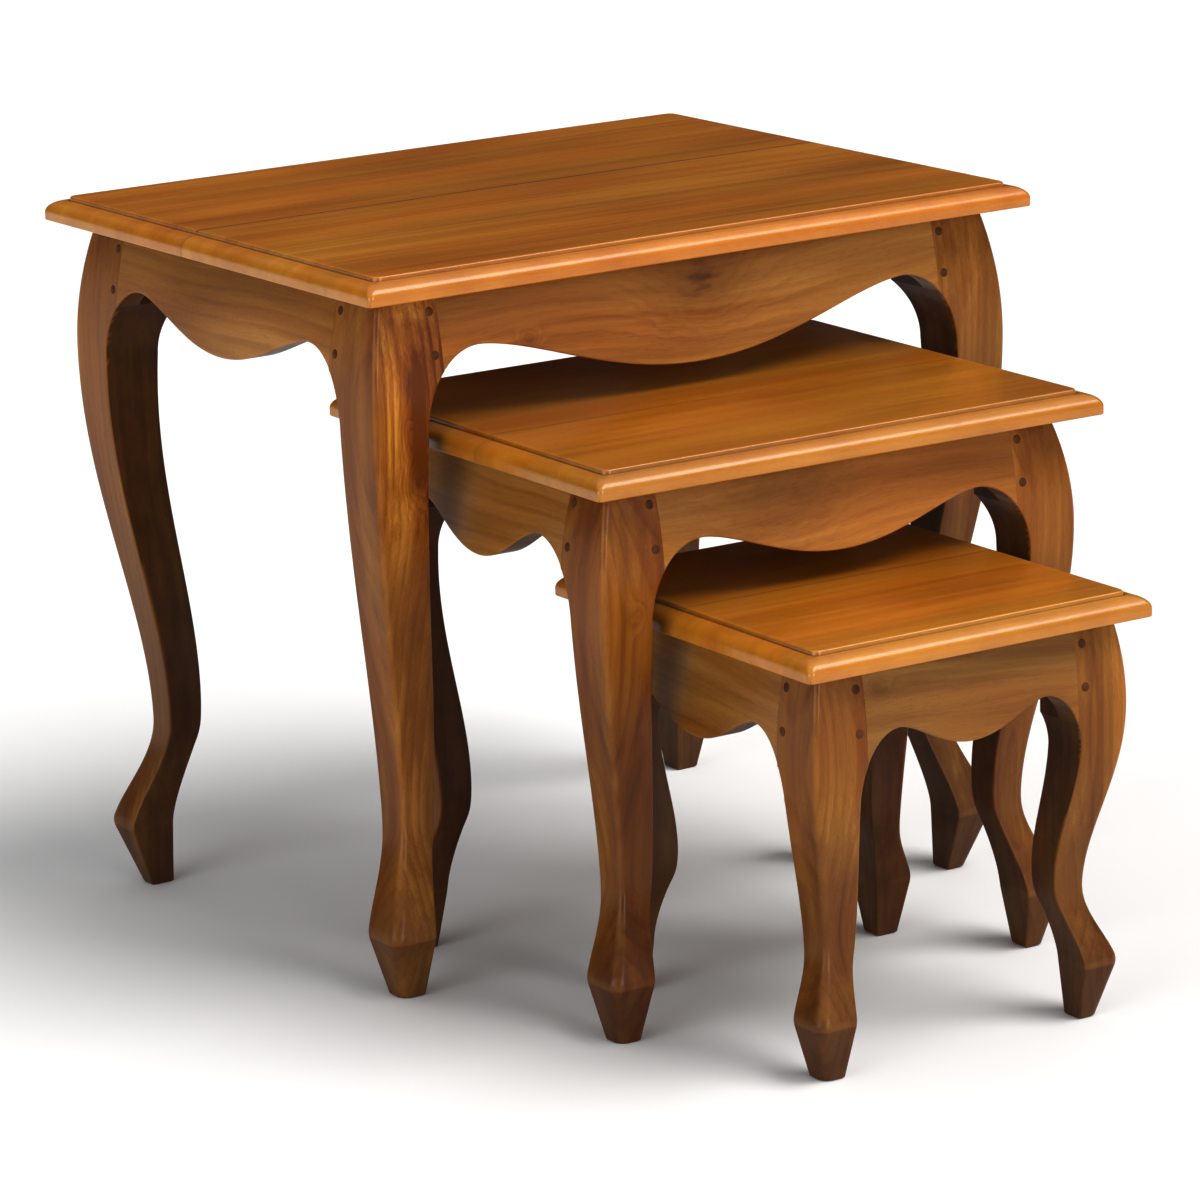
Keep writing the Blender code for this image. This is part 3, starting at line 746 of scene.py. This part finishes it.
def apron_piece(table, side):
    """A shaped apron: its outer face lies at low Y in its own space."""
    name, place, angle, half, dip = side
    shape = table["shape"]
    end = half - JOINT_GAP
    line = lower_line(shape, half, dip)
    rings = []
    for i, point in enumerate(line):
        before, after = line[max(i - 1, 0)], line[min(i + 1, len(line) - 1)]
        run = Vector((after[0] - before[0], after[1] - before[1])).normalized()
        x = max(-end, min(end, point[0]))
        rings.append(apron_ring(shape, (x, point[1]), (-run.y, run.x), end))

    def lowest(x):
        """The lower line's lowest point close to x."""
        return min(z for px, z in line if abs(px - x) < LOWEST_REACH)

    def wear(point):
        from_face = abs(point.y - face_tuck(shape, point.z))
        at_face = max(0.0, 1.0 - from_face / APRON_RUB_DEPTH)
        near_line = lowest(point.x) > point.z - APRON_RUB_HEIGHT
        return APRON_RUB * at_face if near_line else 0.0

    # Painted shade on the apron's hidden back and just under the top.
    def stain_and_shade(point):
        behind_face = point.y > face_tuck(shape, point.z) + 0.8 * APRON_ARRIS
        return max(under_top_shade(shape, point), HIDDEN_SHADE if behind_face else 0.0)

    rng = random.Random(f"{table['name']} apron {name}")
    log = log_matrix(rng, "apron")
    matrix = (table["matrix"] @ Matrix.Translation(place)
              @ Matrix.Rotation(angle, 4, "Z"))
    tone = TONES.get((table["name"], "apron", name), rng.uniform(*TONE_SPANS["apron"]))
    apron = piece(f"{table['name']}_shaped_apron_{name}", loft(rings), matrix, table,
                  "apron", log, {"wear": wear, "stain_and_shade": stain_and_shade},
                  KNOTS.get((table["name"], "apron", name), ()), tone)
    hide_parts(f"{table['name']}_apron_{name}")


def peg_piece(table, side, end_name, end_sign, level, drop):
    """A round peg whose head is a shallow dome and leans with the face around it."""
    name, place, angle, half, _ = side
    shape = table["shape"]
    z = shape["leg_top"] - drop
    lean = face_tuck(shape, z + PEG_RADIUS) - face_tuck(shape, z - PEG_RADIUS)
    slope = lean / (2.0 * PEG_RADIUS)
    face = face_tuck(shape, z)
    # Share of the radius and how far the head stands proud there.
    spans = [(share, -PEG_PROUD - (PEG_DOME - PEG_PROUD) * (1.0 - share * share))
             for share in PEG_DOME_SHARES]
    spans += [(0.97, -0.6 * PEG_PROUD), (1.0, 0.0), (1.0, 0.5 * PEG_DEPTH), (1.0, PEG_DEPTH)]
    rings = []
    for share, sink in spans:
        ring = []
        for i in range(PEG_SIDES):
            turn = 2.0 * math.pi * i / PEG_SIDES
            across = share * PEG_RADIUS * math.cos(turn)
            up = share * PEG_RADIUS * math.sin(turn)
            ring.append((across, sink + slope * up, up))
        rings.append(ring)

    def stain_and_shade(point):
        at_rim = Vector((point.x, point.z)).length > PEG_RIM * PEG_RADIUS
        return PEG_RIM_STAIN if at_rim else 0.0

    rng = random.Random(f"{table['name']} peg {name} {end_name} {level}")
    log = log_matrix(rng, "peg")
    matrix = (table["matrix"] @ Matrix.Translation(place) @ Matrix.Rotation(angle, 4, "Z")
              @ Matrix.Translation((end_sign * (half + PEG_SET), face, z)))
    peg = piece(f"{table['name']}_{name}_round_peg_{end_name}_{level}", loft(rings), matrix,
                table, "peg", log, {"stain_and_shade": stain_and_shade}, tone=rng.uniform(*TONE_SPANS["peg"]))
    node = f"{table['name']}_{name}_peg_{end_name}_{level}"
    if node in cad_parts:
        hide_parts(node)


def top_profile(thick):
    """Inset, height, wear and painted shade of each line of the moulding, from below."""
    # Painted shade darkens the underside of the edge, the lower arris, the quirk and the rows on either
    # side of it.
    lines = [(EDGE_ARRIS + UNDERSIDE_RIM, 0.0, 0.0, 0.60), (EDGE_ARRIS, 0.0, 0.0, 0.40)]
    for i in range(1, EDGE_STEPS):
        angle = 0.5 * math.pi * i / EDGE_STEPS
        lines.append((EDGE_ARRIS * (1.0 - math.sin(angle)),
                      EDGE_ARRIS * (1.0 - math.cos(angle)), 0.5, 0.1))
    lines.append((0.0, EDGE_ARRIS, 0.6, 0.0))
    lines.append((0.0, EDGE_FILLET - FILLET_LIP, 0.5, 0.0))
    for i in range(OVOLO_STEPS + 1):
        angle = 0.5 * math.pi * i / OVOLO_STEPS
        rub = 0.6 if 0.2 < i / OVOLO_STEPS < 0.6 else 0.3
        recess_shade = 0.35 if i == OVOLO_STEPS else 0.0
        lines.append((OVOLO_WIDTH * (1.0 - math.cos(angle)),
                      EDGE_FILLET + OVOLO_RISE * math.sin(angle), rub, recess_shade))
    floor = EDGE_FILLET + OVOLO_RISE - QUIRK_SINK
    lines.append((OVOLO_WIDTH + 0.35 * QUIRK_WIDTH, floor, 0.0, 0.50))
    lines.append((OVOLO_WIDTH + 0.75 * QUIRK_WIDTH, floor, 0.0, 0.50))
    step_in = OVOLO_WIDTH + QUIRK_WIDTH
    for i in range(CREST_STEPS + 1):
        angle = 0.5 * math.pi * i / CREST_STEPS
        lines.append((step_in + CREST_R * (1.0 - math.cos(angle)),
                      thick - CREST_R * (1.0 - math.sin(angle)), 0.45, 0.25 if i < 2 else 0.0))
    for inwards, rub in CREST_ROWS:
        lines.append((step_in + CREST_R + inwards, thick, rub, 0.0))
    return lines


def top_ring(half_x, half_y, z, radius):
    """Rectangle with round corners at height z."""
    ring = []
    spots = ((1, 1), (-1, 1), (-1, -1), (1, -1))
    for quarter, (sx, sy) in enumerate(spots):
        cx, cy = sx * (half_x - radius), sy * (half_y - radius)
        for i in range(CORNER_STEPS + 1):
            angle = 0.5 * math.pi * (quarter + i / CORNER_STEPS)
            ring.append((cx + radius * math.cos(angle), cy + radius * math.sin(angle), z))
    return ring


def board_piece(table, name):
    """Half of a moulded top, cut along the glue line with a hair of a bevel."""
    half_x, half_y = 0.5 * table["width"], 0.5 * table["depth"]
    thick = table["thick"]
    profile = top_profile(thick)
    rings = [top_ring(half_x - inset, half_y - inset, z, TOP_CORNER_R + TOP_CORNER_GROWTH * inset)
             for inset, z, _, _ in profile]
    bm = loft(rings)
    sign = 1 if name == "rear" else -1
    seam = SEAM_SHARE[table["name"]] * table["depth"] + sign * SEAM_HALF_GAP
    geometry = bm.verts[:] + bm.edges[:] + bm.faces[:]
    cut = bmesh.ops.bisect_plane(bm, geom=geometry, plane_co=(0.0, seam, 0.0),
                                 plane_no=(0.0, -sign, 0.0), clear_outer=True)["geom_cut"]
    rim = [item for item in cut if isinstance(item, bmesh.types.BMEdge)]
    bmesh.ops.holes_fill(bm, edges=rim, sides=0)
    upper = [edge for edge in rim
             if edge.is_valid and all(vert.co.z > thick - TINY for vert in edge.verts)]
    bevel = SEAM_BEVEL[table["name"]]
    bmesh.ops.bevel(bm, geom=upper, offset=bevel, segments=2, affect="EDGES", profile=0.5)

    geometry = bm.verts[:] + bm.edges[:] + bm.faces[:]
    stain_end = (0.0, seam + sign * SEAM_STAIN_REACH, 0.0)
    bmesh.ops.bisect_plane(bm, geom=geometry, plane_co=stain_end, plane_no=(0.0, 1.0, 0.0))

    def line_at(point):
        inset = min(half_x - abs(point.x), half_y - abs(point.y))
        return min(profile, key=lambda line: (line[0] - inset) ** 2 + (line[1] - point.z) ** 2)

    def wear(point):
        from_end, from_front = half_x - abs(point.x), half_y - abs(point.y)
        at_corner = max(from_end, from_front) < CORNER_RUB_REACH
        return min(1.0, line_at(point)[2] + (CORNER_RUB if at_corner else 0.0))

    # The glue line and the end grain take real stain; elsewhere the moulding's painted shade is used.
    def stain_and_shade(point):
        at_seam = abs(point.y - seam) < 0.5 * SEAM_STAIN_REACH
        at_end = half_x - abs(point.x) < OVOLO_WIDTH and point.z > EDGE_ARRIS
        end_grain = END_GRAIN_STAIN if at_end else 0.0
        on_top = point.z > thick - SEAM_TOP_REACH
        seam_stain = SEAM_STAIN[table["name"]] * (1.0 if on_top else SEAM_SIDE_SHARE)
        return seam_stain if at_seam else max(line_at(point)[3], end_grain)

    rng = random.Random(f"{table['name']} board {name}")
    log = log_matrix(rng, "top")
    matrix = table["matrix"] @ Matrix.Translation((0.0, 0.0, table["shape"]["leg_top"]))
    board = piece(f"{table['name']}_moulded_top_{name}", bm, matrix, table, "top", log,
                  {"wear": wear, "stain_and_shade": stain_and_shade}, tone=TONES[(table["name"], "board", name)])
    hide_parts(f"{table['name']}_top_{name}_board")


# Pieces whose grain stands out more than that of the rest.
BOLD = {("large", "leg", "front_left"): 2.3, ("large", "leg", "front_right"): 1.4}

# Pieces cut from lighter or darker wood than the rest.
TONES = {
    ("large", "leg", "front_left"): 1.22,
    ("large", "leg", "front_right"): 0.80,
    ("large", "apron", "front"): 1.20,
    ("mid", "apron", "front"): 1.15,
    ("small", "apron", "front"): 0.78,
    ("large", "board", "front"): 1.12,
    ("large", "board", "rear"): 1.08,
    ("mid", "board", "front"): 0.96,
    ("mid", "board", "rear"): 1.00,
    ("small", "board", "front"): 1.08,
    ("small", "board", "rear"): 1.12,
}

# Knots that show, in the space of their piece: centre and size of the eye. The eye of
# the mid apron's knot lies deep inside, so that only its swirl shows.
NO_KNOT = ((0.0, 0.0, 50.0), (1.0, 1.0, 1.0))
KNOTS = {
    ("large", "apron", "front"): (
        ((0.004, 0.006, 0.507), (0.0170, 0.016, 0.0125)),
        ((-0.150, 0.006, 0.482), (0.0035, 0.004, 0.0025)),
    ),
    ("large", "leg", "front_left"): (
        ((0.036, 0.004, 0.394), (0.0040, 0.006, 0.0065)),
        ((0.030, 0.010, 0.425), (0.0025, 0.006, 0.0060)),
    ),
    ("mid", "leg", "front_left"): (((0.030, 0.010, 0.318), (0.0028, 0.004, 0.0034)),),
    ("mid", "apron", "front"): (((-0.042, 0.036, 0.392), (0.020, 0.020, 0.016)),),
    ("small", "apron", "front"): (((-0.080, 0.008, 0.280), (0.0030, 0.004, 0.0024)),),
}


# ---------------------------------------------------------------- whole tables
# A lean between the front edge's direction and the first facet of a corner, so that the
# foremost point along it is the end of the straight front edge.
EDGE_END_LEAN = 0.12


def measure_table(name):
    """Middle, turn and size of a table, read from the two CAD boards of its top."""
    points = [vert.co for board in ("front", "rear")
              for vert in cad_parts[f"{name}_top_{board}_board"].data.vertices]
    left_end = min(points, key=lambda p: p.y + EDGE_END_LEAN * p.x)
    right_end = min(points, key=lambda p: p.y - EDGE_END_LEAN * p.x)
    turn = math.atan2(right_end.y - left_end.y, right_end.x - left_end.x)
    level = [Matrix.Rotation(-turn, 3, "Z") @ point for point in points]
    low = Vector(min(p[axis] for p in level) for axis in range(3))
    high = Vector(max(p[axis] for p in level) for axis in range(3))
    middle = Matrix.Rotation(turn, 3, "Z") @ ((low + high) / 2.0)
    shape = dict(SHAPES[name])
    finish_shape(shape, low.z)
    return {
        "name": name,
        "body": f"{name}_table",
        "shape": shape,
        "width": high.x - low.x,
        "depth": high.y - low.y,
        "thick": high.z - low.z,
        "middle": Vector((middle.x, middle.y, 0.0)),
        "matrix": Matrix.Translation((middle.x, middle.y, 0.0)) @ Matrix.Rotation(turn, 4, "Z"),
        "knee_x": 0.5 * (high.x - low.x) - shape["side_over"],
        "knee_y": 0.5 * (high.y - low.y) - shape["front_over"],
    }


def build_table(name):
    """All 26 pieces of one table."""
    table = measure_table(name)
    shape = table["shape"]
    for corner in CORNERS:
        leg_piece(table, corner)
    long_half = table["knee_x"] - shape["block"]
    short_half = table["knee_y"] - shape["block"]
    quarter = 0.5 * math.pi
    knee_x, knee_y = table["knee_x"], table["knee_y"]
    # Each apron's side, place, turn, half length and dip, then the legs at its two ends.
    sides = (
        (("front", (0.0, -knee_y, 0.0), 0.0, long_half, shape["front_dip"]), ("left", "right")),
        (("right", (knee_x, 0.0, 0.0), quarter, short_half, shape["side_dip"]), ("front", "rear")),
        (("rear", (0.0, knee_y, 0.0), 2.0 * quarter, long_half, shape["front_dip"]), ("right", "left")),
        (("left", (-knee_x, 0.0, 0.0), -quarter, short_half, shape["side_dip"]), ("rear", "front")),
    )
    for side, ends in sides:
        apron_piece(table, side)
        for end_name, end_sign in zip(ends, (-1, 1)):
            for level, drop in PEG_DROPS:
                peg_piece(table, side, end_name, end_sign, level, drop)
    board_piece(table, "front")
    board_piece(table, "rear")
    return table


# ---------------------------------------------------------------- studio
FLOOR_SIZE = 60.0
FLOOR_COLOUR = (0.86, 0.86, 0.86, 1.0)
CAMERA_FROM_LARGE = Vector((-2.3171, -3.4433, 1.2843))
CAMERA_BEARING = math.radians(-34.52)
CAMERA_HEIGHT = math.radians(14.37)
CAMERA_ROLL = math.radians(-1.40)
CAMERA_LENS = 165.1
SENSOR_WIDTH = 36.0
VIEW_GAMMA = 0.77

# Height on the unit sphere and brightness there.
SKY_STOPS = ((0.02, 0.16), (0.05, 0.04), (0.50, 0.05), (0.74, 0.75))

# Name, direction it shines in, strength, width in degrees, colour.
LIGHTS = (
    ("key_light", (-0.16, 0.92, -0.22), 1.40, 30.0, (1.0, 0.99, 0.98)),
    ("left_light", (0.95, 0.25, -0.16), 1.80, 45.0, (0.88, 0.96, 1.0)),
    ("top_light", (-0.35, 0.42, -0.84), 2.40, 36.0, (1.0, 0.98, 0.96)),
)


def make_floor():
    """A wide, plain, pale floor without gloss."""
    t = Tree("studio_floor")
    t.shader.inputs["Base Color"].default_value = FLOOR_COLOUR
    t.shader.inputs["Roughness"].default_value = 0.9
    t.shader.inputs["Specular IOR Level"].default_value = 0.1
    bm = bmesh.new()
    bmesh.ops.create_grid(bm, x_segments=4, y_segments=4, size=0.5 * FLOOR_SIZE)
    mesh = bpy.data.meshes.new("studio_floor")
    bm.to_mesh(mesh)
    bm.free()
    mesh.materials.append(t.material)
    floor = bpy.data.objects.new("studio_floor", mesh)
    bpy.context.scene.collection.objects.link(floor)


def make_sky():
    """A dark room with a pale skirting at the horizon and one wide soft ceiling light."""
    world = bpy.data.worlds.new("studio")
    world.use_nodes = True
    tree = world.node_tree
    nodes, links = tree.nodes, tree.links
    coords = nodes.new("ShaderNodeTexCoord")
    split = nodes.new("ShaderNodeSeparateXYZ")
    ramp = nodes.new("ShaderNodeValToRGB")
    line = ramp.color_ramp.elements
    while len(line) < len(SKY_STOPS):
        line.new(0.5)
    for element, (height, level) in zip(line, SKY_STOPS):
        element.position = height
        element.color = (level, level, level, 1.0)
    links.new(coords.outputs["Generated"], split.inputs[0])
    links.new(split.outputs["Z"], ramp.inputs["Fac"])
    background = nodes["Background"]
    links.new(ramp.outputs["Color"], background.inputs["Color"])
    background.inputs["Strength"].default_value = 1.0
    bpy.context.scene.world = world


def add_sun(name, towards, strength, angle, colour):
    """A light from far away that looks angle degrees wide."""
    light = bpy.data.lights.new(name, "SUN")
    light.energy = strength
    light.angle = math.radians(angle)
    light.color = colour
    lamp = bpy.data.objects.new(name, light)
    lamp.rotation_mode = "QUATERNION"
    lamp.rotation_quaternion = Vector(towards).to_track_quat("-Z", "Y")
    bpy.context.scene.collection.objects.link(lamp)


def make_camera(large):
    """The camera stands before the nest, at a fixed place seen from the large table."""
    sin_b, cos_b = math.sin(CAMERA_BEARING), math.cos(CAMERA_BEARING)
    sin_h, cos_h = math.sin(CAMERA_HEIGHT), math.cos(CAMERA_HEIGHT)
    back = Vector((sin_b * cos_h, -cos_b * cos_h, sin_h))
    right = (-back).cross(Vector((0.0, 0.0, 1.0))).normalized()
    up = right.cross(-back)
    sin_r, cos_r = math.sin(CAMERA_ROLL), math.cos(CAMERA_ROLL)
    axes = Matrix((cos_r * right + sin_r * up, cos_r * up - sin_r * right, back))
    lens = bpy.data.cameras.new("camera")
    lens.sensor_width = SENSOR_WIDTH
    lens.lens = CAMERA_LENS
    camera = bpy.data.objects.new("camera", lens)
    camera.matrix_world = (Matrix.Translation(large["middle"] + CAMERA_FROM_LARGE)
                           @ axes.transposed().to_4x4())
    bpy.context.scene.collection.objects.link(camera)
    bpy.context.scene.camera = camera


large_table = build_table("large")
build_table("mid")
build_table("small")
make_floor()
make_sky()
for light_settings in LIGHTS:
    add_sun(*light_settings)
make_camera(large_table)
bpy.context.scene.view_settings.view_transform = "Standard"
bpy.context.scene.view_settings.gamma = VIEW_GAMMA
